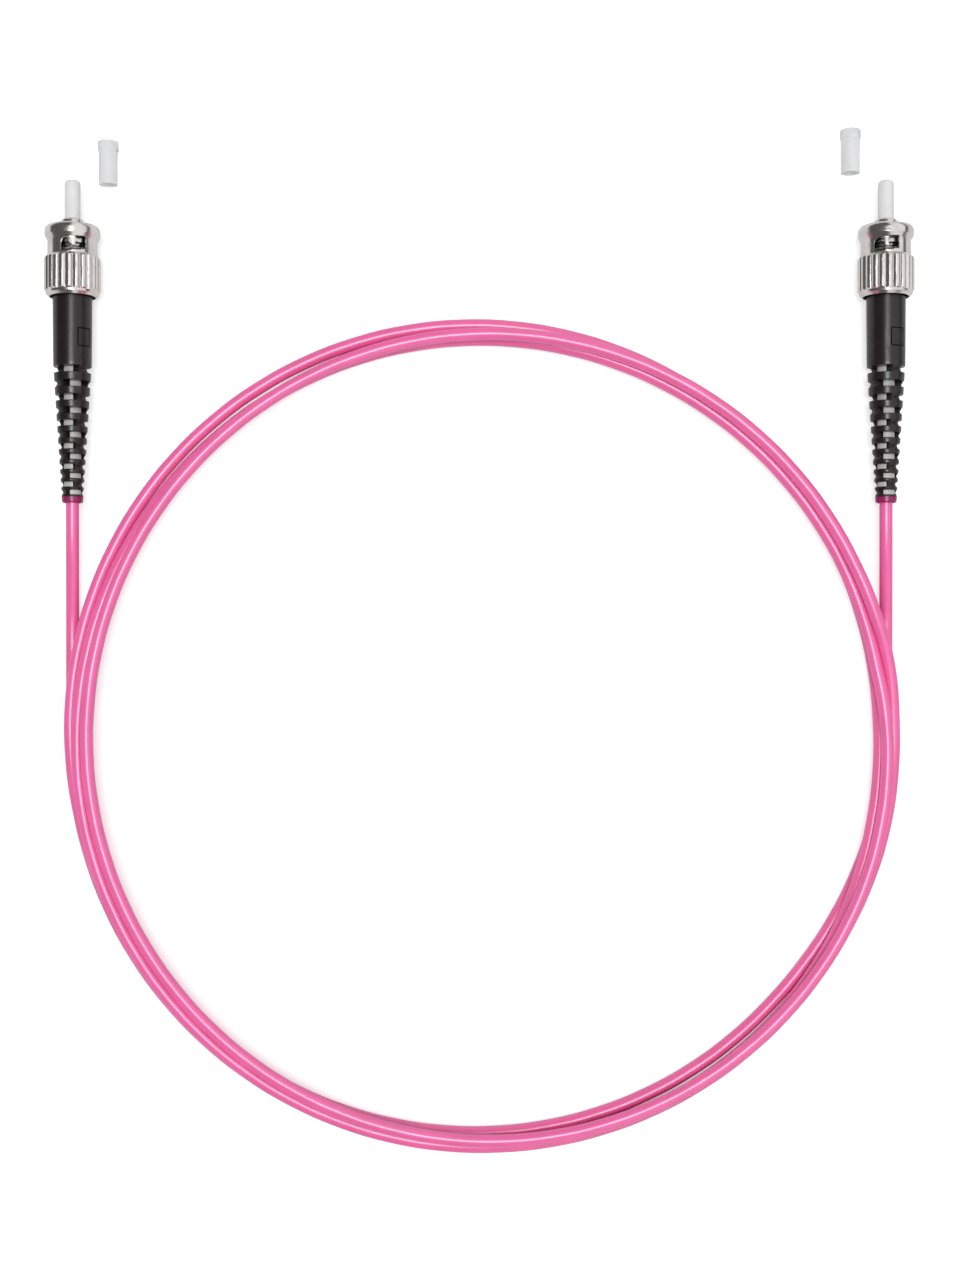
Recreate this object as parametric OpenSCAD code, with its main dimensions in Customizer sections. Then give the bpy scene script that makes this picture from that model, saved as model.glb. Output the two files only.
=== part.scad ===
// Simplex fibre patch cord with an ST bayonet connector on each end.
// Each connector is drawn along its own +Z, from the cable end of its boot (z = 0)
// to the tip of its ferrule, then laid along +Y on the surface z = 0.
// The cord leaves the left boot, lies in a round coil and goes into the right boot.

/* [Layout] */
// Distance from the left ferrule tip to the mouth of its dust cap, along Y
left_cap_ahead = 0; // [0:0.1:5]
// Distance from the right ferrule tip to the mouth of its dust cap, along Y
right_cap_ahead = 1.9; // [0:0.1:5]
// Distance from each connector axis inwards to its dust cap
cap_inset = 5.1; // [4.5:0.1:12]
// How far each connector lies rolled towards the middle
connector_roll = 13; // [0:1:20]

/* [Ferrule] */
// Diameter of the ceramic ferrule
ferrule_d = 2.5; // [2.49:0.005:2.51]
// Diameter at the rear of the ferrule's slightly tapered, glued end
ferrule_rear_d = 2.4; // [2.2:0.05:2.45]
// Length of ferrule that stands out of the nose
ferrule_exposed = 6.3; // [5:0.1:8]
// Length of ferrule inside the holder
ferrule_seat = 5; // [3.5:0.1:6]
// Height of the rounded tip
ferrule_tip_round = 0.5; // [0.2:0.1:0.8]
// Diameter of the glass fibre
fibre_d = 0.125; // [0.12:0.005:0.14]
// Diameter of the tight buffer round the fibre
buffer_d = 0.9; // [0.6:0.1:1]

/* [Ferrule holder] */
// Diameter of the nose round the ferrule
nose_d = 3.6; // [3.2:0.1:4.2]
// Length of the nose
nose_len = 2.2; // [1.5:0.1:3]
// Diameter of the keyed flange
flange_d = 5.9; // [5.6:0.1:6.2]
// Thickness of the keyed flange
flange_t = 1.9; // [1:0.1:2.5]
// Width of the key on the flange
key_w = 1.2; // [0.8:0.1:1.6]
// Height of the key above the flange
key_h = 0.35; // [0.2:0.05:0.4]
// Diameter of the barrel that carries the spring and the nut
barrel_d = 4.2; // [3.9:0.1:4.2]
// Diameter of the crimp stem over its ridges
stem_d = 3.3; // [3:0.1:3.4]
// Length of the crimp stem
stem_len = 8.1; // [6:0.1:9]
// Depth of the grooves round the crimp stem
stem_groove = 0.1; // [0.05:0.05:0.2]

/* [Spring and rings] */
// Diameter of the spring wire
wire_d = 0.45; // [0.3:0.05:0.5]
// Mean diameter of the spring
spring_d = 4.9; // [4.8:0.05:5.2]
// Length of the spring between washer and flange
spring_len = 4.95; // [4.5:0.05:6]
// Number of turns of the spring
spring_turns = 5; // [4:1:6]
// Outer diameter of the thrust washer
washer_d = 5.8; // [5.4:0.1:6.4]
// Thickness of the thrust washer
washer_t = 0.4; // [0.3:0.05:0.6]
// Outer diameter of the retaining ring
ring_d = 5.4; // [5:0.1:6.2]
// Thickness of the retaining ring
ring_t = 0.5; // [0.3:0.1:0.7]
// Depth of the retaining ring's groove in the barrel
ring_groove = 0.3; // [0.2:0.05:0.4]

/* [Coupling nut] */
// Diameter over the knurl
knurl_d = 8.9; // [8.6:0.1:9.6]
// Length of the knurl
knurl_len = 5.9; // [4:0.1:8]
// Number of ridges in the knurl
knurl_count = 22; // [18:1:26]
// Radius of each ridge's crown
knurl_crown = 0.72; // [0.65:0.01:0.9]
// Diameter of the neck that holds the bayonet slots
neck_d = 7.85; // [7.7:0.05:8.1]
// Length of the neck
neck_len = 2.4; // [2:0.1:3]
// Diameter of the front rim
rim_d = 8.75; // [8.6:0.05:9.2]
// Length of the front rim
rim_len = 2.5; // [2:0.1:3]
// Radius of the rim's front edge
rim_round = 0.9; // [0.4:0.05:1]
// Length of the rim's sloped rear edge
rim_slope = 0.8; // [0.4:0.1:1]
// Length of the plain rear lip
lip_len = 0.6; // [0.5:0.1:1.2]
// Width of the chamfer on the rear lip
lip_chamfer = 0.45; // [0.2:0.05:0.5]
// Diameter of the front bore that takes the adapter barrel
front_bore_d = 7.1; // [6.9:0.05:7.3]
// Diameter of the rear bore round the boot
rear_bore_d = 7.2; // [6.9:0.05:7.4]
// Thickness of the web that the spring pushes on
web_t = 1.2; // [0.8:0.1:1.6]
// Width of each bayonet slot
slot_w = 1.75; // [1.5:0.05:2]
// Angle from the lock notch to the entry groove
slot_turn = 34; // [30:1:45]
// Length of each bayonet slot along the axis
slot_len = 2.1; // [1.5:0.1:2.2]
// Width of the channel that joins the notch to the groove
channel_w = 0.8; // [0.6:0.1:1]

/* [Boot] */
// Length of the boot
boot_len = 33.6; // [30:0.1:40]
// Diameter of the boot at its front end
boot_d = 6.2; // [6:0.05:6.6]
// Diameter of the boot at the first flexing slot
boot_waist_d = 6.05; // [5.9:0.05:6.6]
// Diameter of the boot at its cable end
boot_tip_d = 3.3; // [3.2:0.1:4.2]
// Diameter of the hole for the liner
boot_bore_d = 2.75; // [2.7:0.05:2.9]
// Distance from the cable end to the first row of slots
first_row = 21.2; // [19:0.1:21.6]
// Distance between the first two rows of slots
first_pitch = 2.3; // [2.25:0.01:2.35]
// Distance between the last two rows of slots
last_pitch = 1.26; // [1.2:0.01:1.3]
// Number of rows of slots
row_count = 12; // [8:1:12]
// Width of the first row's slots along the axis
first_slot_w = 1.05; // [0.7:0.05:1.2]
// Width of the last row's slots along the axis
last_slot_w = 0.75; // [0.5:0.05:0.85]
// Angle that each slot covers at the bore
flex_slot_arc = 110; // [90:5:120]
// Angle by which each end of a slot flares towards the surface
flex_slot_flare = 20; // [0:5:25]
// Depth of the groove between two ribs
rib_groove = 0.3; // [0.1:0.05:0.4]
// Width and length of the plain marking panel
panel = [2.5, 3]; // [1:0.1:4]
// Distance from the cable end to the marking panel
panel_z = 24.7; // [23:0.1:28]

/* [Crimp] */
// Length of the part of the crimp sleeve that grips the jacket
crimp_neck_len = 2.7; // [2:0.1:5]
// Wall of the crimp sleeve
crimp_wall = 0.32; // [0.25:0.01:0.34]
// Thickness of the aramid yarn on the stem
yarn_t = 0.24; // [0.15:0.01:0.26]
// Wall of the liner in the boot
liner_wall = 0.25; // [0.15:0.05:0.26]

/* [Dust cap] */
// Inner diameter of the dust cap
cap_bore_d = 2.54; // [2.52:0.01:2.6]
// Outer diameter of the dust cap
cap_d = 2.95; // [2.9:0.05:3.3]
// Diameter of the head
cap_head_d = 3.3; // [3.2:0.1:4.2]
// Length of the head
cap_head_len = 1.45; // [1:0.05:2]
// Length of the dust cap
cap_len = 7; // [6:0.1:9]
// Thickness of the closed end
cap_end_t = 1; // [0.6:0.1:1.2]

/* [Cord] */
// Diameter of the cord's jacket
cord_d = 2.1; // [1.8:0.1:2.1]
// Radius of the coil at the middle of its turns
coil_r = 65.1; // [55:0.1:75]
// Width of the band that the turns fill
coil_w = 5.8; // [4.4:0.1:8]
// Height of the coil
coil_h = 7; // [4.2:0.1:8]

/* [Hidden] */
$fn = 48;

// Clearances
slip = 0.15;        // between the nut's web and the barrel, on the radius
glue_gap = 0.01;    // between glued or pressed pieces, on the radius
seat_gap = 0.1;     // between faces that stop on each other
bore_gap = 0.05;    // round the buffer and the jacket, on the radius
cut = 0.2;          // how far a cutter runs past what it cuts

// Stations along each connector, from the boot's cable end
nut_cover = 0.7;                                    // how far the nut reaches over the boot
ring_setback = 0.3;                                 // from the shoulder to the retaining ring
bare_buffer = 1.1;                                  // from the stripped jacket to the stem
nut_rear = boot_len - nut_cover;
knurl_rear = nut_rear + lip_len;
neck_rear = knurl_rear + knurl_len;
rim_rear = neck_rear + neck_len;
nut_front = rim_rear + rim_len;
shoulder = boot_len + seat_gap;                     // rear end of the barrel
ring_rear = shoulder + ring_setback;
ring_front = ring_rear + ring_t;
web_rear = ring_front + seat_gap;
web_front = web_rear + web_t;
washer_rear = web_front + seat_gap / 2;
washer_front = washer_rear + washer_t;
flange_rear = washer_front + spring_len;
nose_rear = flange_rear + flange_t;
nose_front = nose_rear + nose_len;
ferrule_rear = nose_front - ferrule_seat;
ferrule_tip = nose_front + ferrule_exposed;
ribs_front = first_row + 1;                         // where the boot's plain front part begins
stem_rear = shoulder - stem_len;
jacket_end = stem_rear - bare_buffer;
crimp_shoulder = jacket_end + seat_gap;             // where the sleeve opens out
crimp_rear = crimp_shoulder - crimp_neck_len;
crimp_front = boot_len - 2 * seat_gap;

// Radii that more than one piece depends on
holder_bore_r = buffer_d / 2 + bore_gap;
fibre_bore_r = fibre_d / 2 + glue_gap / 4;
yarn_inner_r = stem_d / 2 + glue_gap;
yarn_outer_r = yarn_inner_r + yarn_t;
crimp_inner_r = yarn_outer_r + glue_gap;
crimp_outer_r = crimp_inner_r + crimp_wall;
crimp_neck_r = cord_d / 2 + glue_gap;
crimp_neck_outer_r = crimp_neck_r + crimp_wall;
liner_inner_r = cord_d / 2 + bore_gap;
liner_outer_r = min(liner_inner_r + liner_wall, boot_bore_d / 2 - glue_gap);
web_hole_r = barrel_d / 2 + slip;
knurl_depth = 0.26;
knurl_root_r = knurl_d / 2 - knurl_depth;
entry_depth = 0.08;                                 // how far the entry grooves in the rim clear the neck
entry_r = neck_d / 2 + entry_depth;

// Places in the part's own frame
connector_x = coil_r;                               // the leads run on into the coil's turns
connector_len = ferrule_tip;
axis_z = knurl_d / 2;
boot_tip_y = -(connector_len + right_cap_ahead + cap_len) / 2;
ferrule_tip_y = boot_tip_y + connector_len;
lock_angle = -15;                                   // lock notch, seen from above, towards +X
flex_angle = -52;                                   // middle of the first row's slot
panel_angle = 38;                                   // middle of the marking panel

// Coil, and the points of both leads, as [y, z]
coil_centre = [0.3, -67.7];
coil_inner_r = coil_r - coil_w / 2;
coil_outer_r = coil_r + coil_w / 2;
lead_points = [
    [-6, 4.45], [-12, 4.45], [-18, 4.45], [-24, 4.45], [-30, 4.45], [-34, 4.4],
    [-38, 3.9], [-42, 2.9], [-45, 2.1], [-48, 1.4], [-50, 1.15], [-52, 1.05]
];
lead_swing = 0.226;                                 // how far a lead swings out for each mm that it drops
cord_sides = 8;
wire_sides = 8;
rings_per_turn = 16;

nickel = [0.78, 0.77, 0.75];
ceramic = [0.94, 0.94, 0.92];
black = [0.09, 0.08, 0.09];
pink = [0.92, 0.37, 0.62];

// ---- shared shapes ----

// Lays a connector or a cap along +Y, with its own -Y side up
module along_y(x, y, z) { translate([x, y, z]) rotate([-90, 0, 0]) children(); }

module at_left() {
    along_y(-connector_x, boot_tip_y, axis_z) rotate([0, 0, connector_roll]) children();
}

module at_right() {
    along_y(connector_x, boot_tip_y, axis_z) rotate([0, 0, -connector_roll]) children();
}

// A tube from z0 to z1
module pipe(outer_r, inner_r, z0, z1) {
    translate([0, 0, z0]) difference() {
        cylinder(r = outer_r, h = z1 - z0);
        translate([0, 0, -cut]) cylinder(r = inner_r, h = z1 - z0 + 2 * cut);
    }
}

// A solid rod from z0 to z1
module rod(r, z0, z1) { translate([0, 0, z0]) cylinder(r = r, h = z1 - z0); }

// Turns children to a place round the axis: 0 is the upper side, positive towards +X
module turned(angle) { rotate([0, 0, angle]) children(); }

// Part of a ring, centred on the upper side
module ring_sector(inner_r, outer_r, z0, z1, arc) {
    rotate([0, 0, -90 - arc / 2]) rotate_extrude(angle = arc)
        translate([inner_r, z0]) square([outer_r - inner_r, z1 - z0]);
}

// A swept solid through rings of points
module swept(rings) {
    n = len(rings[0]);
    m = len(rings);
    polyhedron(
        points = [for (ring = rings) each ring],
        faces = concat(
            [[for (k = [0:n - 1]) k]],
            [for (i = [0:m - 2], k = [0:n - 1])
                [i * n + k, (i + 1) * n + k, (i + 1) * n + (k + 1) % n, i * n + (k + 1) % n]],
            [[for (k = [n - 1:-1:0]) (m - 1) * n + k]]
        )
    );
}

function unit(v) = v / norm(v);

// A ring of n points round p in the plane of a and b
function ring_points(p, a, b, r, n) =
    [for (k = [0:n - 1]) p + r * (cos(360 * k / n) * a + sin(360 * k / n) * b)];

// ---- ferrule, fibre and buffer ----

module ferrule() {
    r = ferrule_d / 2;
    funnel = 1;
    color(ceramic) rotate_extrude() polygon([
        [holder_bore_r - bore_gap, ferrule_rear],
        [ferrule_rear_d / 2, ferrule_rear],
        [r, nose_front],
        [r, ferrule_tip - ferrule_tip_round],
        [r - 0.12, ferrule_tip - ferrule_tip_round * 0.55],
        [r - 0.35, ferrule_tip - ferrule_tip_round * 0.15],
        [r - 0.7, ferrule_tip],
        [fibre_bore_r, ferrule_tip],
        [fibre_bore_r, ferrule_rear + funnel]
    ]);
}

module fibre() { color([0.85, 0.9, 0.95]) rod(fibre_d / 2, jacket_end, ferrule_tip); }

module buffer() { color([0.97, 0.97, 0.97]) pipe(buffer_d / 2, fibre_bore_r, jacket_end, ferrule_rear); }

// ---- ferrule holder, with its key, barrel and crimp stem ----

module ferrule_holder() {
    nose_chamfer = 0.25;
    ridge_pitch = 1;
    color(nickel) difference() {
        union() {
            rod(stem_d / 2 - stem_groove, stem_rear, shoulder + cut);
            for (z = [stem_rear : ridge_pitch : shoulder - ridge_pitch / 2])
                rod(stem_d / 2, z, z + ridge_pitch / 2);
            rod(barrel_d / 2, shoulder, flange_rear + cut);
            rod(flange_d / 2, flange_rear, nose_rear);
            translate([-key_w / 2, -flange_d / 2 - key_h, flange_rear])
                cube([key_w, flange_d / 4 + key_h, flange_t]);
            rod(nose_d / 2, nose_rear - cut, nose_front - nose_chamfer);
            translate([0, 0, nose_front - nose_chamfer])
                cylinder(r1 = nose_d / 2, r2 = nose_d / 2 - nose_chamfer, h = nose_chamfer);
        }
        rod(holder_bore_r, stem_rear - cut, ferrule_rear + cut);
        rod(ferrule_d / 2 + glue_gap, ferrule_rear, nose_front + cut);
        pipe(barrel_d / 2 + cut, barrel_d / 2 - ring_groove, ring_rear, ring_front);
    }
}

// ---- spring, washer and retaining ring ----

module spring() {
    steps = spring_turns * rings_per_turn;
    rise = spring_len - wire_d;
    function flat_end(t) = t - 0.6 * sin(360 * t) / (2 * PI);
    function place(t) = [
        spring_d / 2 * cos(360 * spring_turns * t),
        spring_d / 2 * sin(360 * spring_turns * t),
        washer_front + wire_d / 2 + rise * flat_end(t)
    ];
    color([0.8, 0.8, 0.82]) swept([for (i = [0:steps])
        ring_points(place(i / steps), unit([place(i / steps).x, place(i / steps).y, 0]),
            [0, 0, 1], wire_d / 2, wire_sides)]);
}

module thrust_washer() {
    color(nickel) pipe(washer_d / 2, barrel_d / 2 + slip / 2, washer_rear, washer_front);
}

module retaining_ring() {
    opening = 1.6;
    color([0.6, 0.6, 0.62]) difference() {
        pipe(ring_d / 2, barrel_d / 2 - ring_groove + glue_gap, ring_rear + glue_gap, ring_front - glue_gap);
        translate([-opening / 2, 0, ring_rear - cut]) cube([opening, ring_d, ring_t + 2 * cut]);
    }
}

// ---- coupling nut ----

// The turned outside of the nut, without its knurl
module nut_blank() {
    rim_r = rim_d / 2;
    rod(neck_d / 2, knurl_rear, rim_rear + cut);
    rotate_extrude() {
        polygon([
            [0, rim_rear], [neck_d / 2, rim_rear], [rim_r, rim_rear + rim_slope],
            [rim_r, nut_front - rim_round], [rim_r - rim_round, nut_front], [0, nut_front]
        ]);
        translate([rim_r - rim_round, nut_front - rim_round]) circle(r = rim_round);
    }
    translate([0, 0, nut_rear])
        cylinder(r1 = knurl_root_r - lip_chamfer, r2 = knurl_root_r, h = lip_chamfer);
    rod(knurl_root_r, nut_rear + lip_chamfer, knurl_rear + cut);
}

// Round-crowned ridges with V-shaped valleys, run out at both ends
module knurl() {
    run_out = 0.45;
    intersection() {
        translate([0, 0, knurl_rear]) linear_extrude(knurl_len) {
            circle(r = knurl_root_r - 0.05);
            for (i = [0:knurl_count - 1]) rotate(i * 360 / knurl_count)
                translate([knurl_d / 2 - knurl_crown, 0]) circle(r = knurl_crown, $fn = 24);
        }
        rotate_extrude() polygon([
            [0, knurl_rear], [knurl_d / 2 - run_out, knurl_rear],
            [knurl_d / 2 + cut, knurl_rear + run_out + cut],
            [knurl_d / 2 + cut, neck_rear - run_out - cut],
            [knurl_d / 2 - run_out, neck_rear], [0, neck_rear]
        ]);
    }
}

// One bayonet track: lock notch, channel, and the groove that lets the lug in from the front
module bayonet_track() {
    reach = rim_d;
    inner = front_bore_d / 2 - 1;
    ramp = 0.15;                                    // each step of the rear edge towards the groove
    slot_front = rim_rear - 0.05;
    slot_rear = slot_front - slot_len;
    turned(lock_angle) {
        translate([0, 0, slot_front - slot_w / 2]) rotate([90, 0, 0]) cylinder(d = slot_w, h = reach / 2);
        translate([-slot_w / 2, -reach / 2, slot_rear]) cube([slot_w, reach / 2, slot_len - slot_w / 2]);
    }
    turned(lock_angle + slot_turn / 2)
        ring_sector(inner, reach / 2, slot_rear + ramp, slot_rear + ramp + channel_w, slot_turn);
    turned(lock_angle + slot_turn) {
        translate([-slot_w / 2, -reach / 2, slot_rear + 2 * ramp])
            cube([slot_w, reach / 2, slot_len - 2 * ramp]);
        intersection() {
            translate([-slot_w / 2, -reach / 2, rim_rear - cut])
                cube([slot_w, reach / 2, rim_len + 2 * cut]);
            translate([0, 0, rim_rear - cut]) cylinder(r = entry_r, h = rim_len + 2 * cut);
        }
    }
}

module coupling_nut() {
    mouth = 0.2;
    color(nickel) difference() {
        union() {
            nut_blank();
            knurl();
        }
        rod(rear_bore_d / 2, nut_rear - cut, web_rear);
        rod(web_hole_r, web_rear - cut, web_front + cut);
        rod(front_bore_d / 2, web_front, nut_front + cut);
        translate([0, 0, nut_front - mouth])
            cylinder(r1 = front_bore_d / 2, r2 = front_bore_d / 2 + 2 * mouth, h = 2 * mouth);
        for (half = [0, 180]) turned(half) bayonet_track();
    }
}

// ---- crimp sleeve, yarn, boot and liner ----

module crimp_sleeve() {
    color([0.72, 0.7, 0.66]) rotate_extrude() polygon([
        [crimp_neck_r, crimp_rear], [crimp_neck_outer_r, crimp_rear],
        [crimp_neck_outer_r, crimp_shoulder], [crimp_outer_r, stem_rear],
        [crimp_outer_r, crimp_front], [crimp_inner_r, crimp_front],
        [crimp_inner_r, stem_rear], [crimp_neck_r, crimp_shoulder]
    ]);
}

module aramid_yarn() {
    color([0.95, 0.82, 0.35]) pipe(yarn_outer_r, yarn_inner_r, stem_rear, crimp_front - seat_gap);
}

// Distance of row i of slots from the cable end: the pitch falls evenly from row to row
function row_z(i) = first_row - i * first_pitch
    + (first_pitch - last_pitch) / (row_count - 2) * i * (i - 1) / 2;

// Width of row i's slots
function row_w(i) = first_slot_w + (last_slot_w - first_slot_w) * i / (row_count - 1);

// Radius of the ribbed cone at a height
function cone_r(z) = boot_tip_d / 2 + (boot_waist_d - boot_tip_d) / 2 * min(1, z / ribs_front);

module boot_outside() {
    shoulder_w = 0.6;
    edge = 0.15;
    rotate_extrude() polygon(concat(
        [[0, 0], [boot_tip_d / 2 - edge, 0], [boot_tip_d / 2, edge]],
        [for (i = [row_count - 1:-1:0], step = [[-1, 0], [-0.5, 0.35], [0, 1], [0.5, 0.35], [1, 0]])
            let (z = row_z(i) + step[0] * shoulder_w)
            [cone_r(z) - step[1] * rib_groove, z]],
        [[boot_waist_d / 2, ribs_front], [boot_d / 2, boot_len - edge],
            [boot_d / 2 - edge, boot_len], [0, boot_len]]
    ));
}

// One flexing slot of row i, centred on the upper side, with ends that flare outwards
module flex_slot(i) {
    inner_r = boot_bore_d / 2;
    outer_r = boot_waist_d / 2;
    near = flex_slot_arc / 2;
    wide = near + flex_slot_flare;
    reach = 1.5;
    function end_point(side, share) = side * [
        inner_r * sin(near) + share * (outer_r * sin(wide) - inner_r * sin(near)), 0
    ] - [0, inner_r * cos(near) + share * (outer_r * cos(wide) - inner_r * cos(near))];
    translate([0, 0, row_z(i) - row_w(i) / 2]) linear_extrude(row_w(i)) polygon([
        end_point(-1, -0.1), end_point(-1, reach), [-boot_d, -boot_d], [boot_d, -boot_d],
        end_point(1, reach), end_point(1, -0.1)
    ]);
}

// Engraved outline of the plain marking panel
module panel_outline() {
    line = 0.2;
    depth = 0.12;
    floor_r = boot_waist_d / 2 - depth;
    arc = panel[0] / boot_waist_d * 360 / PI;
    line_arc = line / boot_waist_d * 360 / PI;
    turned(panel_angle) difference() {
        ring_sector(floor_r, boot_d, panel_z, panel_z + panel[1], arc);
        ring_sector(floor_r - cut, boot_d + cut, panel_z + line, panel_z + panel[1] - line, arc - 2 * line_arc);
    }
}

module boot() {
    bore_gap_r = 2 * glue_gap;
    neck_r = max(boot_bore_d / 2, crimp_neck_outer_r + bore_gap_r);
    color(black) difference() {
        boot_outside();
        rotate_extrude() polygon([
            [0, -cut], [boot_bore_d / 2, -cut], [boot_bore_d / 2, crimp_rear - seat_gap],
            [neck_r, crimp_rear - seat_gap], [neck_r, crimp_shoulder],
            [crimp_outer_r + bore_gap_r, stem_rear], [crimp_outer_r + bore_gap_r, boot_len + cut],
            [0, boot_len + cut]
        ]);
        for (i = [0:row_count - 1], half = [0, 180])
            turned(flex_angle + 90 * (i % 2) + half) flex_slot(i);
        panel_outline();
    }
}

module boot_liner() {
    color([0.85, 0.85, 0.84]) pipe(liner_outer_r, liner_inner_r, row_z(row_count - 1) - last_slot_w,
        crimp_rear - 2 * seat_gap);
}

// ---- dust cap ----

module dust_cap() {
    head_r = cap_head_d / 2;
    head_rear = cap_len - cap_head_len;
    edge = 0.3;
    color([0.96, 0.97, 0.97, 0.6]) difference() {
        rotate_extrude() {
            square([cap_d / 2, head_rear + cut]);
            translate([0, head_rear]) square([head_r, cap_head_len - edge]);
            translate([head_r - edge, cap_len - edge]) circle(r = edge);
            translate([0, cap_len - 2 * edge]) square([head_r - edge, 2 * edge]);
        }
        rod(cap_bore_d / 2, -cut, cap_len - cap_end_t);
    }
}

module left_cap_place() {
    along_y(-connector_x + cap_inset, ferrule_tip_y + left_cap_ahead, cap_head_d / 2) children();
}

module right_cap_place() {
    along_y(connector_x - cap_inset, ferrule_tip_y + right_cap_ahead, cap_head_d / 2) children();
}

// ---- cord ----

// Direction of a lead at its point i
function lead_direction(i) =
    unit(lead_points[min(i + 1, len(lead_points) - 1)] - lead_points[max(i - 1, 0)]);

// The lead on one side: -1 is the left one
module lead(side) {
    color(pink) swept([for (i = [0:len(lead_points) - 1])
        let (way = lead_direction(i), drop = lead_points[0].y - lead_points[i].y)
        ring_points([side * (connector_x + lead_swing * drop), lead_points[i].x, lead_points[i].y],
            [1, 0, 0], [0, -way.y, way.x], cord_d / 2, cord_sides)]);
}

module coil() {
    r = cord_d / 2;
    color(pink) translate([coil_centre.x, coil_centre.y, 0]) rotate_extrude() {
        translate([coil_inner_r, r]) square([coil_outer_r - coil_inner_r, coil_h - cord_d]);
        translate([coil_inner_r + r, 0]) square([coil_outer_r - coil_inner_r - cord_d, coil_h]);
        for (x = [coil_inner_r + r, coil_outer_r - r], z = [r, coil_h - r])
            translate([x, z]) circle(r = r);
    }
}

// ---- what is drawn ----

at_left() ferrule();  // left_ferrule
at_left() ferrule_holder();  // left_ferrule_holder
at_left() spring();  // left_spring
at_left() thrust_washer();  // left_thrust_washer
at_left() coupling_nut();  // left_coupling_nut
at_left() retaining_ring();  // left_retaining_ring
at_left() crimp_sleeve();  // left_crimp_sleeve
at_left() aramid_yarn();  // left_aramid_yarn
at_left() boot();  // left_boot
at_left() boot_liner();  // left_boot_liner
at_left() buffer();  // left_buffer
at_left() fibre();  // left_fibre
left_cap_place() dust_cap();  // left_dust_cap
at_right() ferrule();  // right_ferrule
at_right() ferrule_holder();  // right_ferrule_holder
at_right() spring();  // right_spring
at_right() thrust_washer();  // right_thrust_washer
at_right() coupling_nut();  // right_coupling_nut
at_right() retaining_ring();  // right_retaining_ring
at_right() crimp_sleeve();  // right_crimp_sleeve
at_right() aramid_yarn();  // right_aramid_yarn
at_right() boot();  // right_boot
at_right() boot_liner();  // right_boot_liner
at_right() buffer();  // right_buffer
at_right() fibre();  // right_fibre
right_cap_place() dust_cap();  // right_dust_cap
lead(-1);  // cord_left_lead
coil();  // cord_coil
lead(1);  // cord_right_lead
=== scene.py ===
"""Looks of a simplex fibre patch cord: finish of each piece, and the cord at its real length."""
import math

import bpy
import numpy as np
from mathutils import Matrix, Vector


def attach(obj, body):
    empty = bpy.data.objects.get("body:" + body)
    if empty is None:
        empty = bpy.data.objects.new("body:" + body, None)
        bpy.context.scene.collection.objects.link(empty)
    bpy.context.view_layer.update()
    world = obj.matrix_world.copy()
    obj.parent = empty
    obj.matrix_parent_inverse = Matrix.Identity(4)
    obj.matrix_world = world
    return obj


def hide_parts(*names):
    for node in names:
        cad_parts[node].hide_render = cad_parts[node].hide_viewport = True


MM = 0.001
ENDS = ("left", "right")

# Cord, in millimetres: the same route as the part's own cord solids
CORD_D = 2.1
CONNECTOR_X = 65.1
LEAD_SWING = 0.226                  # how far a lead swings out for each mm that it drops
CORD_EXIT = (-30.25, 4.45)          # y and z where it leaves each boot
LEAD = [
    (-6, 4.45), (-12, 4.45), (-18, 4.45), (-24, 4.45), (-30, 4.45), (-34, 4.4),
    (-38, 3.9), (-42, 2.9), (-45, 2.1), (-48, 1.4), (-50, 1.15), (-52, 1.05),
]
COIL_X, COIL_Y = 0.3, -67.7
COIL_R = 65.36
COIL_TURNS = 3.5
COIL_START = 180                    # angle at which the left lead runs into the coil
WIDENING = 1.4                      # how much wider the first turn gets all the way round
TOP_LAYER = 6.65                    # height above the floor of the strand that is laid on top
LAYER_STEP = 2.2                    # how much lower each later ring starts
STEPS_PER_TURN = 144
STEPS_PER_POINT = 3
LEAD_STEPS = 5                      # steps of each lead that the coil's loop lays flat

# Camera and floor, in metres
CAMERA_PLACE = (0.00012, -0.0522, 0.289)
CAMERA_LENS_MM = 50
CAMERA_REACH = 10
FLOOR_HALF = 2.0

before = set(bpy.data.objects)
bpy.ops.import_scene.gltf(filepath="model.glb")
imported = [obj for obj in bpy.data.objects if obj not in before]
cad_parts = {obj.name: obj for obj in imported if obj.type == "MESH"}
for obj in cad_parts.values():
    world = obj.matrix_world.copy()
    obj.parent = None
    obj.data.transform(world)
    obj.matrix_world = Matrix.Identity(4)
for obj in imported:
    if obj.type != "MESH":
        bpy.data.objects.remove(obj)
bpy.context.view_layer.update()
scene = bpy.context.scene


# ---- camera ----

def add_camera():
    """Looks straight down on the middle of the whole set."""
    camera = bpy.data.objects.new("camera", bpy.data.cameras.new("camera"))
    scene.collection.objects.link(camera)
    camera.data.lens = CAMERA_LENS_MM
    camera.data.clip_end = CAMERA_REACH
    camera.location = CAMERA_PLACE
    scene.camera = camera


# ---- cord ----

def smoothstep(value, start, end):
    """0 before start, 1 after end, and smooth between them."""
    share = np.clip((value - start) / (end - start), 0, 1)
    return share * share * (3 - 2 * share)


def ring_radius(angle, offset, towards):
    """Radius, seen from the coil's centre, of a ring that lies off centre."""
    return COIL_R + offset * np.cos(np.radians(angle - towards))


def lead_x(height):
    """Distance of a lead from the middle plane at a height."""
    return CONNECTOR_X + LEAD_SWING * (CORD_EXIT[1] - height)


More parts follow.
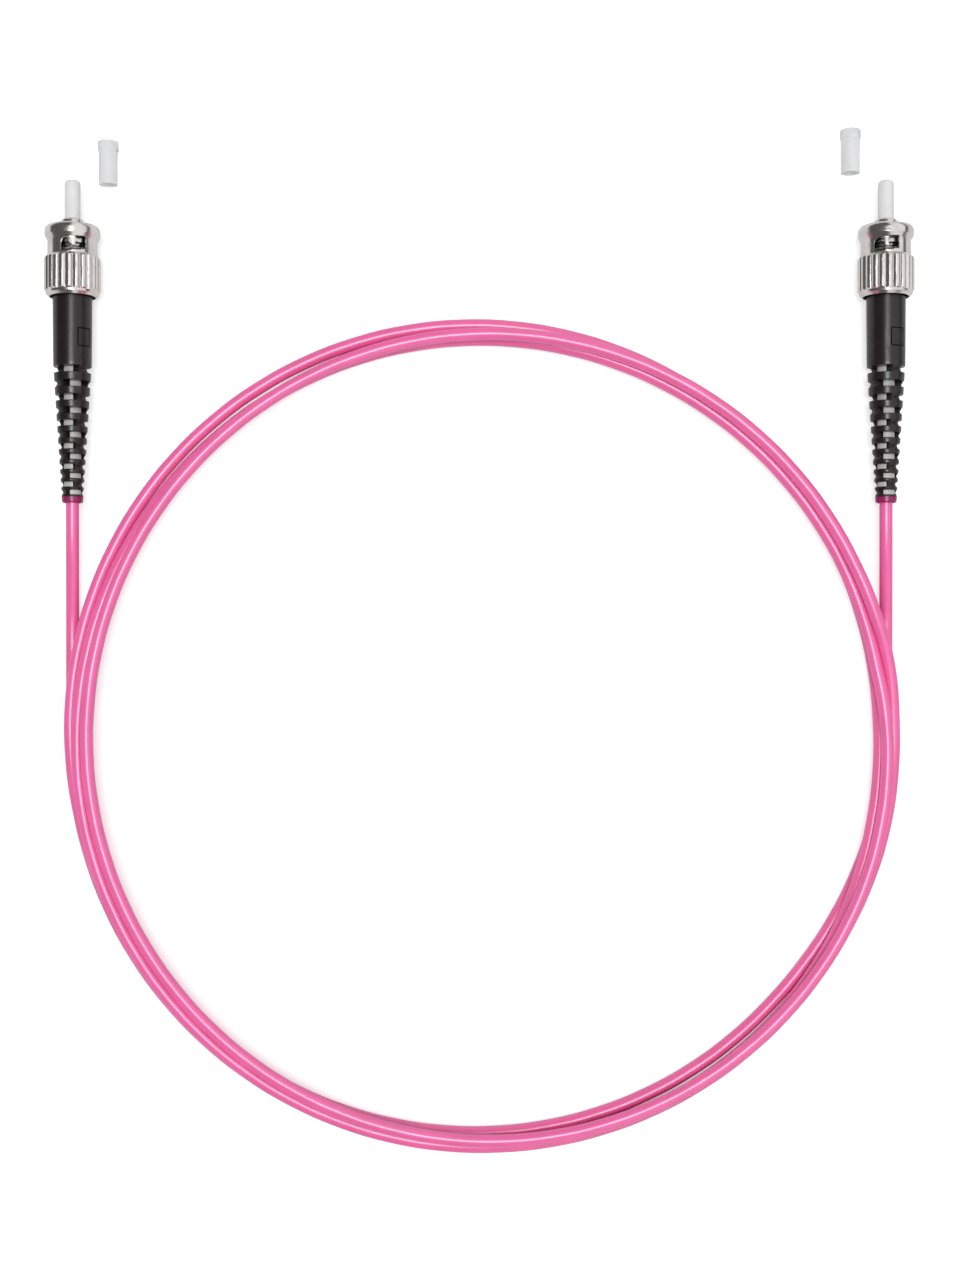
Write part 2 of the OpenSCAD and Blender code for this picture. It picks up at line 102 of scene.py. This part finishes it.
def laid_radius(turn, angle):
    """Radius of each point before the strands push each other aside."""
    floor_x = lead_x(CORD_D / 2)
    coil_end = COIL_START + 360 * COIL_TURNS
    before = np.radians(np.minimum(angle - COIL_START, 0))
    after = np.radians(np.maximum(angle - coil_end, 0))
    radius = (floor_x + COIL_X) / np.cos(before) + WIDENING * np.maximum(turn, 0)
    # Each ring with the turns between which the cord goes over to it; the last one is the right lead
    rings = [
        (ring_radius(angle, 1.43, -12), 0.42, 0.50),
        (ring_radius(angle, 1.16, -92), 1.40, 1.56),
        (ring_radius(angle, 1.51, 136), 2.40, 2.56),
        ((floor_x - COIL_X) / np.cos(after), 3.38, 3.50),
    ]
    for ring, start, end in rings:
        radius += smoothstep(turn, start, end) * (ring - radius)
    return radius


def laid_height(turn):
    """The first half turn lies on the floor; each later ring starts a layer up and settles."""
    height = CORD_D / 2 + TOP_LAYER * smoothstep(turn, 0.5, 0.6)
    for start, end in ((1.44, 1.54), (2.44, 2.54), (3.40, 3.48)):
        height -= LAYER_STEP * smoothstep(turn, start, end)
    return np.maximum(height, CORD_D / 2)


def settle(radius, height, laid, lean, fixed, pairs, steps, drop, smoothing):
    """Lets the strands drop until they rest on the floor and on each other."""
    pull, give = 0.3, 0.3           # shares of a distance that are made good at a time
    pushes = 3                      # rounds of pushing after each drop
    tiny = 1e-9                     # keeps the division below from one by zero
    first, second = pairs
    for _ in range(steps):
        height -= drop
        radius += pull * (laid - lean * (height - CORD_D / 2) - radius)
        for value in (radius, height):
            value[1:-1] += smoothing * (value[:-2] + value[2:] - 2 * value[1:-1])
        for _ in range(pushes):
            across = radius[second] - radius[first]
            up = height[second] - height[first]
            distance = np.hypot(across, up) + tiny
            push = give * np.maximum(0, CORD_D - distance) / distance
            np.add.at(radius, first, -push * across)
            np.add.at(radius, second, push * across)
            np.add.at(height, first, -push * up)
            np.add.at(height, second, push * up)
            radius[fixed] = laid[fixed]
            np.maximum(height, CORD_D / 2, out=height)


def coil_points():
    """Points of the coil's turns, counter-clockwise from the left lead to the right one."""
    step = np.arange(-LEAD_STEPS, int(COIL_TURNS * STEPS_PER_TURN) + LEAD_STEPS + 1)
    turn = step / STEPS_PER_TURN
    angle = COIL_START + 360 * turn
    laid = laid_radius(turn, angle)
    # The first crossing starts 1 mm further out, so the strands slide past each other
    radius = laid + smoothstep(turn, 0.46, 0.54) * (1 - smoothstep(turn, 0.58, 0.66))
    height = laid_height(turn)
    fixed = (turn <= 0) | (turn >= COIL_TURNS)
    first, second = np.triu_indices(len(step), 1)
    side_by_side = (second - first) % STEPS_PER_TURN == 0
    pairs = first[side_by_side], second[side_by_side]
    # Upper strands lie closer in, and more so on the side away from the connectors
    lean = np.where(fixed, 0, 0.228 - 0.054 * np.sin(np.radians(angle)))
    for steps, drop, smoothing in ((1500, 0.006, 0.25), (500, 0.0015, 0.3)):
        settle(radius, height, laid, lean, fixed, pairs, steps, drop, smoothing)
    x = COIL_X + radius * np.cos(np.radians(angle))
    y = COIL_Y + radius * np.sin(np.radians(angle))
    return np.column_stack([x, y, height])[::STEPS_PER_POINT]


def tube_mesh(curve):
    """The curve's own surface, as a mesh."""
    maker = bpy.data.objects.new("maker", curve)
    scene.collection.objects.link(maker)
    made = maker.evaluated_get(bpy.context.evaluated_depsgraph_get())
    mesh = bpy.data.meshes.new_from_object(made)
    bpy.data.objects.remove(maker)
    bpy.data.curves.remove(curve)
    mesh.name = "cord"
    return mesh


def add_cord():
    """One cord from boot to boot: left lead, coil, right lead."""
    left = [(-lead_x(z), y, z) for y, z in LEAD]
    right = [(lead_x(z), y, z) for y, z in reversed(LEAD)]
    points = np.vstack([left, coil_points(), right]) * MM
    curve = bpy.data.curves.new("cord", "CURVE")
    curve.dimensions = "3D"
    curve.bevel_depth = CORD_D / 2 * MM
    curve.bevel_resolution = 6
    curve.resolution_u = 4
    curve.use_fill_caps = True
    spline = curve.splines.new("BEZIER")
    spline.bezier_points.add(len(points) - 1)
    for point, place in zip(spline.bezier_points, points):
        point.co = place
        point.handle_left_type = point.handle_right_type = "AUTO"
    cord = bpy.data.objects.new("cord", tube_mesh(curve))
    scene.collection.objects.link(cord)
    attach(cord, "cord_set")
    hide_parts("cord_left_lead", "cord_coil", "cord_right_lead")
    return cord


add_camera()
cord = add_cord()


# ---- materials ----

def feed(tree, socket, value):
    """Links a socket to another node's output, or sets it to a constant."""
    if isinstance(value, bpy.types.NodeSocket):
        tree.links.new(value, socket)
    else:
        socket.default_value = value


def join(tree, node, **values):
    """Feeds the inputs of a node, by name."""
    for name, value in values.items():
        feed(tree, node.inputs[name.replace("_", " ")], value)


def math_node(tree, operation, *values):
    node = tree.nodes.new("ShaderNodeMath")
    node.operation = operation
    for socket, value in zip(node.inputs, values):
        feed(tree, socket, value)
    return node.outputs[0]


def ramp(tree, value, start, end, low=0.0, high=1.0):
    """low before start, high after end, and smooth between them."""
    node = tree.nodes.new("ShaderNodeMapRange")
    node.interpolation_type = "SMOOTHSTEP"
    join(tree, node, Value=value, From_Min=start, From_Max=end, To_Min=low, To_Max=high)
    return node.outputs[0]


def mix_color(tree, share, first, second):
    """A Mix node set to colours: its colour inputs are numbers 6 and 7, its colour output number 2."""
    node = tree.nodes.new("ShaderNodeMix")
    node.data_type = "RGBA"
    for index, value in ((0, share), (6, first), (7, second)):
        feed(tree, node.inputs[index], value)
    return node.outputs[2]


def object_place(tree):
    return tree.nodes.new("ShaderNodeTexCoord").outputs["Object"]


def new_material(name, color, roughness, metallic=0.0, shade=0.85, size_mm=1.5, grain=0.05,
                 edge_mm=0.0, **sockets):
    """A finish that varies slightly: patches of a darker shade, and of a rougher surface."""
    material = bpy.data.materials.new(name)
    material.use_nodes = True
    tree = material.node_tree
    shader = tree.nodes["Principled BSDF"]
    noise = tree.nodes.new("ShaderNodeTexNoise")
    join(tree, noise, Vector=object_place(tree), Scale=1 / (size_mm * MM), Detail=3.0)
    patches = ramp(tree, noise.outputs[0], 0.35, 0.65)
    darker = tuple(shade * channel for channel in color)
    smoothest, roughest = roughness - grain / 2, roughness + grain / 2
    join(tree, shader, Metallic=metallic,
         Base_Color=mix_color(tree, patches, (*color, 1), (*darker, 1)),
         Roughness=ramp(tree, noise.outputs[0], 0.3, 0.7, smoothest, roughest), **sockets)
    if edge_mm:
        edge = tree.nodes.new("ShaderNodeBevel")
        edge.samples = 6
        join(tree, edge, Radius=edge_mm * MM)
        join(tree, shader, Normal=edge.outputs[0])
    return material


def tint_along_y(material, color, start_mm, end_mm):
    """Goes over to another colour along the piece's own length."""
    tree = material.node_tree
    shader = tree.nodes["Principled BSDF"]
    base = shader.inputs["Base Color"].links[0].from_socket
    split = tree.nodes.new("ShaderNodeSeparateXYZ")
    join(tree, split, Vector=object_place(tree))
    share = ramp(tree, split.outputs["Y"], start_mm * MM, end_mm * MM)
    join(tree, shader, Base_Color=mix_color(tree, share, (*color, 1), base))


def paint_slot_shade(material, reach_mm):
    """Painted shade: light hardly gets into narrow slots, so their colour is painted darker than the
    surface round them and their reflections are made weaker.
    """
    tree = material.node_tree
    shader = tree.nodes["Principled BSDF"]
    base = shader.inputs["Base Color"].links[0].from_socket
    hidden = tree.nodes.new("ShaderNodeAmbientOcclusion")
    hidden.samples = 8
    join(tree, hidden, Distance=reach_mm * MM, Color=base)
    unshaded_share = ramp(tree, hidden.outputs["AO"], 0.35, 0.95)
    join(tree, shader, Base_Color=mix_color(tree, unshaded_share, (0, 0, 0, 1), base),
         Specular_IOR_Level=math_node(tree, "MULTIPLY", unshaded_share, 0.5))


def dress(material, *nodes):
    """Gives CAD nodes a finish."""
    for name in nodes:
        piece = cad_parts[name]
        piece.data.materials.clear()
        piece.data.materials.append(material)


boot_rubber = new_material(
    "boot_rubber", (0.016, 0.010, 0.013), 0.3, shade=0.7, grain=0.06, edge_mm=0.08)
tint_along_y(boot_rubber, (0.28, 0.01, 0.10), -29.5, -29.2)     # the last rib goes over to magenta
# painted shade in the boot's slots
paint_slot_shade(boot_rubber, 1.0)

# Finishes of the pieces that each connector has
FINISHES = {
    ("coupling_nut",): new_material(
        "nickel", (0.80, 0.76, 0.73), 0.2, 1.0, shade=0.9, grain=0.08, edge_mm=0.09),
    ("ferrule_holder", "thrust_washer"): new_material(
        "holder_metal", (0.78, 0.75, 0.72), 0.16, 1.0, shade=0.9, edge_mm=0.08),
    ("spring", "retaining_ring"): new_material("steel", (0.7, 0.7, 0.72), 0.25, 1.0),
    ("crimp_sleeve",): new_material("crimp_metal", (0.72, 0.7, 0.66), 0.35, 1.0),
    ("ferrule",): new_material("ceramic", (0.74, 0.74, 0.74), 0.2, shade=0.96),
    ("boot",): boot_rubber,
    ("boot_liner",): new_material("liner_plastic", (0.55, 0.55, 0.54), 0.45),
    # the caps also glow faintly: painted light that keeps them pale
    ("dust_cap",): new_material(
        "cap_plastic", (0.97, 0.975, 0.98), 0.3, shade=0.98, Transmission_Weight=0.6, IOR=1.3,
        Emission_Color=(1, 1, 1, 1), Emission_Strength=0.03),
    ("aramid_yarn",): new_material("aramid", (0.9, 0.65, 0.15), 0.7, size_mm=0.4),
    ("buffer",): new_material("buffer_plastic", (0.85, 0.85, 0.85), 0.5),
    ("fibre",): new_material("glass", (0.9, 0.94, 0.97), 0.05, shade=0.97),
}
for parts, finish in FINISHES.items():
    dress(finish, *(f"{end}_{part}" for end in ENDS for part in parts))
cord.data.materials.append(new_material(
    "jacket", (0.87, 0.13, 0.38), 0.3, shade=0.93, size_mm=6.0, grain=0.04, Specular_IOR_Level=1.0))


# ---- floor, lights and view ----

def add_floor():
    half = FLOOR_HALF
    mesh = bpy.data.meshes.new("floor")
    corners = [(-half, -half, 0), (half, -half, 0), (half, half, 0), (-half, half, 0)]
    mesh.from_pydata(corners, [], [(0, 1, 2, 3)])
    floor = bpy.data.objects.new("floor", mesh)
    scene.collection.objects.link(floor)
    paper = new_material("floor", (0.7, 0.7, 0.7), 0.9, shade=0.995, size_mm=40,
                         Emission_Color=(1, 1, 1, 1), Specular_IOR_Level=0.1)
    # White to the camera alone: it puts no light on the object
    tree = paper.node_tree
    path = tree.nodes.new("ShaderNodeLightPath")
    join(tree, tree.nodes["Principled BSDF"],
         Emission_Strength=math_node(tree, "MULTIPLY", path.outputs["Is Camera Ray"], 0.5))
    mesh.materials.append(paper)


def add_light(name, place, size, power):
    """A square lamp that faces the object."""
    light = bpy.data.objects.new(name, bpy.data.lights.new(name, "AREA"))
    light.data.size = size
    light.data.energy = power
    light.location = place
    light.rotation_euler = (-Vector(place)).to_track_quat("-Z", "Y").to_euler()
    scene.collection.objects.link(light)
    return light


def add_world():
    """White all round, but shiny surfaces see a dark room with a bright panel on the right."""
    world = bpy.data.worlds.new("studio")
    world.use_nodes = True
    tree = world.node_tree
    direction = tree.nodes.new("ShaderNodeSeparateXYZ")
    place = tree.nodes.new("ShaderNodeTexCoord")
    join(tree, direction, Vector=place.outputs["Generated"])
    # Lean of a direction to the right, in degrees from straight up
    lean = math_node(tree, "ARCTAN2", direction.outputs["X"], direction.outputs["Z"])
    lean = math_node(tree, "MULTIPLY", lean, math.degrees(1))
    panel = math_node(tree, "MULTIPLY", ramp(tree, lean, 5, 9),
                      math_node(tree, "SUBTRACT", 1, ramp(tree, lean, 70, 76)))
    room = math_node(tree, "MULTIPLY_ADD", panel, 0.8, 0.1)
    path = tree.nodes.new("ShaderNodeLightPath")
    glossy = path.outputs["Is Glossy Ray"]
    plain = math_node(tree, "MULTIPLY", math_node(tree, "SUBTRACT", 1, glossy), 0.5)
    strength = math_node(tree, "MULTIPLY_ADD", glossy, room, plain)
    strength = math_node(tree, "MULTIPLY_ADD", path.outputs["Is Camera Ray"], 0.5, strength)
    join(tree, tree.nodes["Background"], Color=(1, 1, 1, 1), Strength=strength)
    scene.world = world


add_floor()
add_world()
# Both lamps hang above the object; the wide one makes no highlights
add_light("key", (0.0, -0.03, 0.95), 0.3, 3.8)
fill = add_light("fill", (0.0, 0.0, 1.0), 1.0, 2.5)
fill.visible_glossy = False
scene.view_settings.view_transform = "Standard"
bpy.context.view_layer.update()
